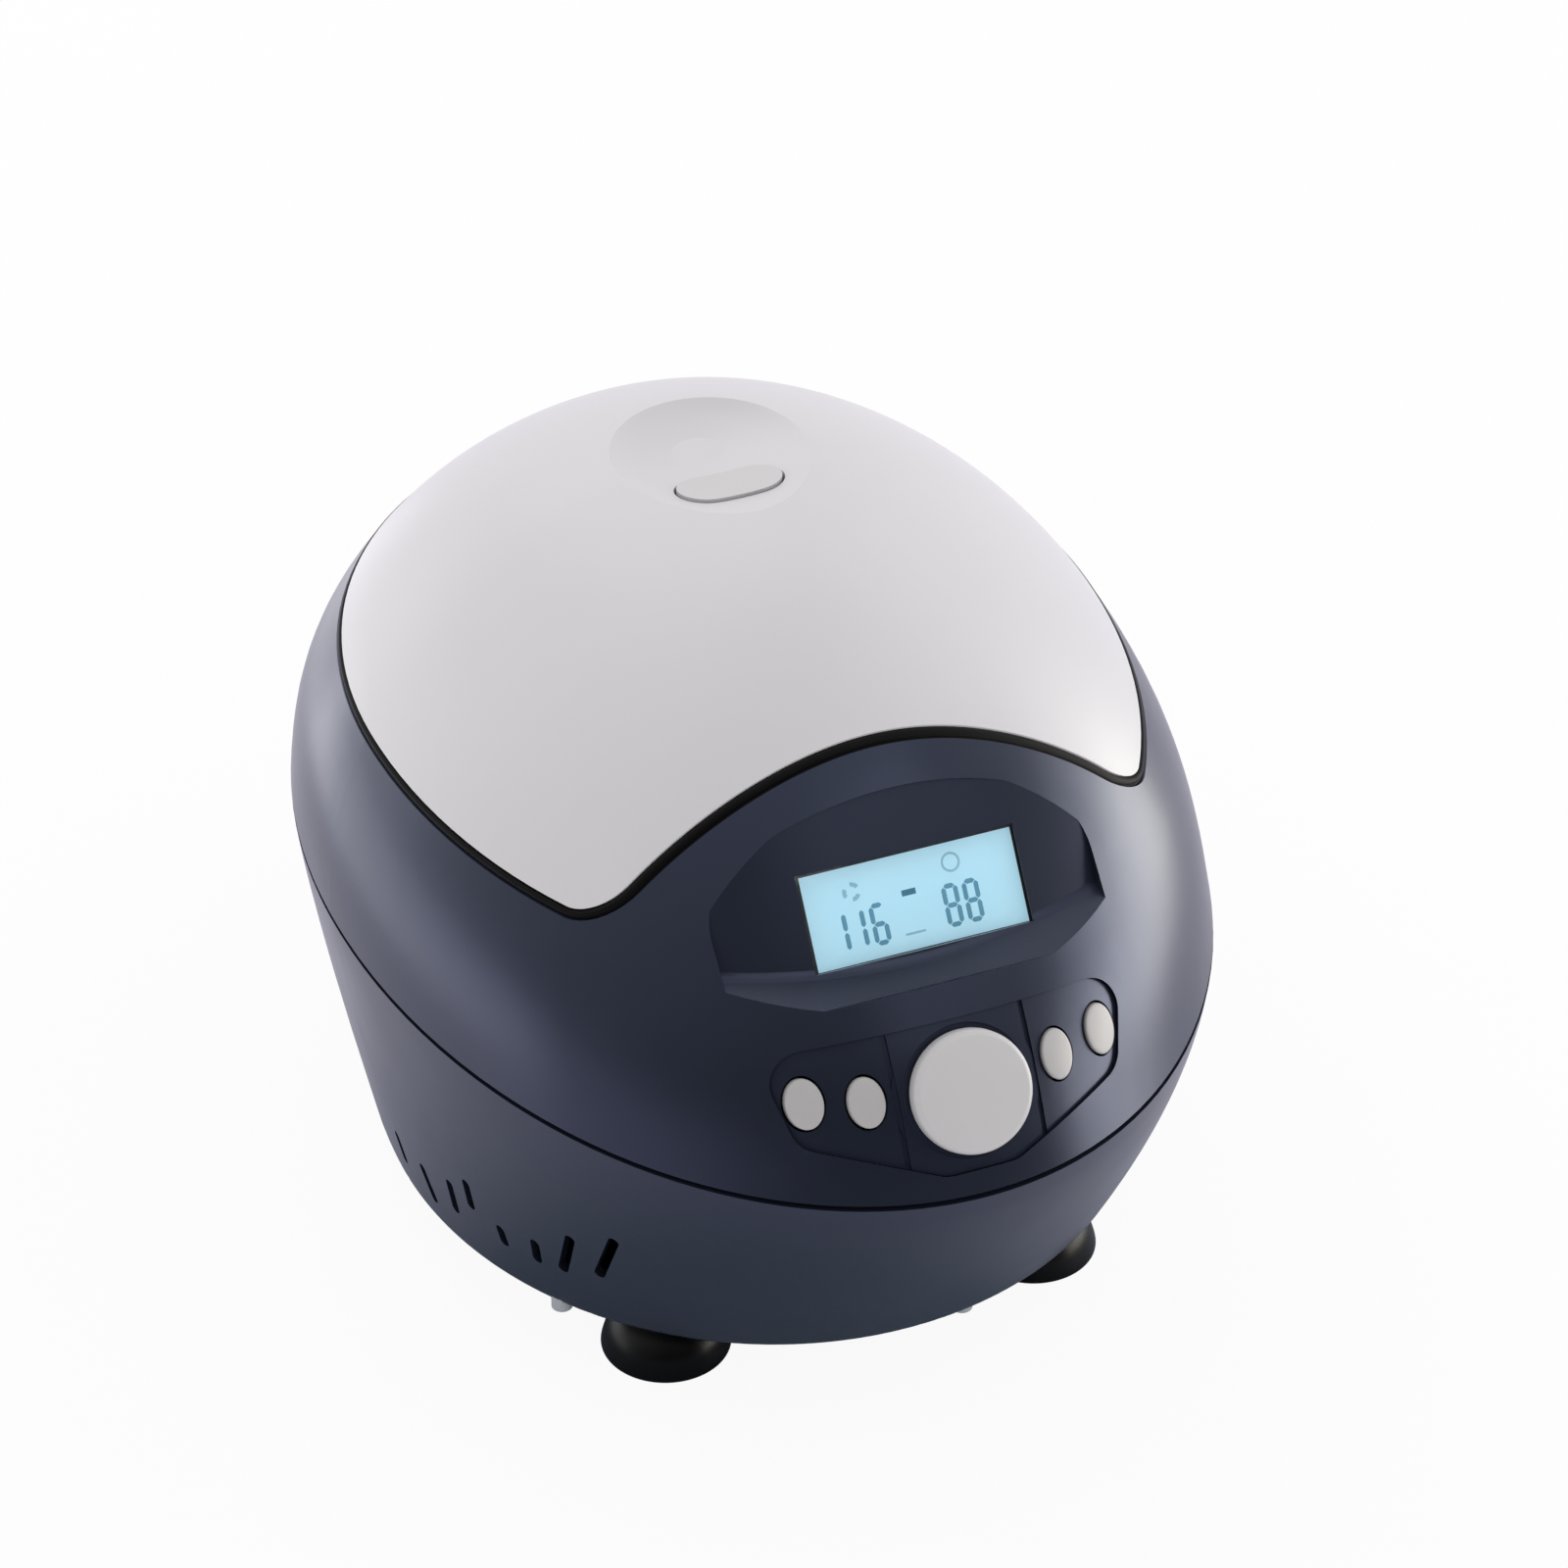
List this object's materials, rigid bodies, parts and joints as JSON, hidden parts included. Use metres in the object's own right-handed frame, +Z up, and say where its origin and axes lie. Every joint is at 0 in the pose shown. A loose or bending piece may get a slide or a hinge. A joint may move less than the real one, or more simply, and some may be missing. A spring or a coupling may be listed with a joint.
{
  "type": "high-speed bench centrifuge",
  "caption": "Egg-shaped high-speed bench centrifuge with a domed hinged lid, fixed-angle tube rotor, tilted display, control knob, oval buttons and suction feet.",
  "frame": {"origin": "on the table under the middle of the case", "axes": "+X to the right side, -Y to the front with the controls, +Z up"},
  "size_m": [0.196, 0.2738, 0.1796],
  "materials": {
    "case_plastic": "dark slate blue, satin",
    "lid_plastic": "light grey, satin",
    "key_plastic": "mid grey, satin",
    "black_rubber": "black, smooth",
    "clear_window": "clear",
    "lcd": "backlit pale cyan",
    "device_black": "black, moulded",
    "board": "green board",
    "pale_pad": "pale, smooth",
    "steel": "brushed",
    "rotor_metal": "anodised, satin"
  },
  "bodies": {
    "housing": {"lower_housing": "case_plastic", "upper_housing": "case_plastic", "control_panel": "case_plastic", "display_window": "clear_window", "display_module": "lcd", "encoder_body": "device_black", "keypad_board": "board", "tact_switches": "device_black", "hinge_base": "steel", "hinge_pin": "steel", "base_screws": "steel", "chamber_bowl": "steel", "chamber_gasket": "black_rubber", "motor_body": "rotor_metal", "motor_mount_plate": "steel", "motor_dampers": "black_rubber", "motor_screws": "steel", "chassis_plate": "steel", "lock_body": "device_black", "lid_switch": "device_black", "control_board": "board", "board_standoffs": "steel", "power_supply": "rotor_metal", "fan_frame": "device_black", "rear_panel": "case_plastic", "mains_inlet": "device_black", "fuse_holder": "device_black", "switch_frame": "device_black", "case_screws": "steel", "foot_front_left": "black_rubber", "foot_front_right": "black_rubber", "foot_rear_left": "black_rubber", "foot_rear_right": "black_rubber", "foot_studs": "steel", "base_pads": "pale_pad"},
    "lid": {"lid_shell": "lid_plastic", "lid_liner": "lid_plastic", "lid_seal": "black_rubber", "lid_tongue": "steel", "hinge_leaf": "steel", "leaf_screws": "steel", "release_bracket": "steel", "release_switch": "device_black", "release_spring": "steel"},
    "release": {"release_button": "key_plastic"},
    "knob": {"knob": "key_plastic", "encoder_shaft": "steel"},
    "button_left_outer": {"button_left_outer": "key_plastic"},
    "button_left_inner": {"button_left_inner": "key_plastic"},
    "button_right_inner": {"button_right_inner": "key_plastic"},
    "button_right_outer": {"button_right_outer": "key_plastic"},
    "rotor": {"rotor": "rotor_metal", "rotor_nut": "rotor_metal", "motor_shaft": "steel"},
    "lock_bolt": {"lock_bolt": "steel"},
    "rocker": {"switch_rocker": "device_black"},
    "fan": {"fan_impeller": "device_black"}
  },
  "joints": [
    {"name": "lid_hinge", "type": "hinge", "parent": "housing", "child": "lid", "pos_m": [0, 0.1078, 0.1302], "axis": [-1, 0, 0], "range_deg": [0, 80]},
    {"name": "release_press", "type": "slide", "parent": "lid", "child": "release", "axis": [0, 0, -1], "range_m": [0, 0.002], "stiffness_N_per_m": 600, "springref_m": -0.002, "deforming": ["release_spring"]},
    {"name": "knob_turn", "type": "hinge", "parent": "housing", "child": "knob", "pos_m": [0, -0.12627, 0.108], "axis": [0, -0.848, 0.5299], "continuous": true},
    {"name": "button_left_outer_press", "type": "slide", "parent": "housing", "child": "button_left_outer", "axis": [0, 0.848, -0.5299], "range_m": [0, 0.001], "stiffness_N_per_m": 800, "springref_m": -0.0005},
    {"name": "button_left_inner_press", "type": "slide", "parent": "housing", "child": "button_left_inner", "axis": [0, 0.848, -0.5299], "range_m": [0, 0.001], "stiffness_N_per_m": 800, "springref_m": -0.0005},
    {"name": "button_right_inner_press", "type": "slide", "parent": "housing", "child": "button_right_inner", "axis": [0, 0.848, -0.5299], "range_m": [0, 0.001], "stiffness_N_per_m": 800, "springref_m": -0.0005},
    {"name": "button_right_outer_press", "type": "slide", "parent": "housing", "child": "button_right_outer", "axis": [0, 0.848, -0.5299], "range_m": [0, 0.001], "stiffness_N_per_m": 800, "springref_m": -0.0005},
    {"name": "rotor_spin", "type": "hinge", "parent": "housing", "child": "rotor", "pos_m": [0, 0.016, 0.1], "axis": [0, 0, 1], "continuous": true},
    {"name": "lock_bolt_slide", "type": "slide", "parent": "housing", "child": "lock_bolt", "axis": [1, 0, 0], "range_m": [0, 0.008]},
    {"name": "mains_switch", "type": "hinge", "parent": "housing", "child": "rocker", "pos_m": [0.015, 0.105, 0.054], "axis": [-1, 0, 0], "range_deg": [0, 24]},
    {"name": "fan_spin", "type": "hinge", "parent": "housing", "child": "fan", "pos_m": [-0.06, 0.006, 0.0425], "axis": [1, 0, 0], "continuous": true}
  ]
}
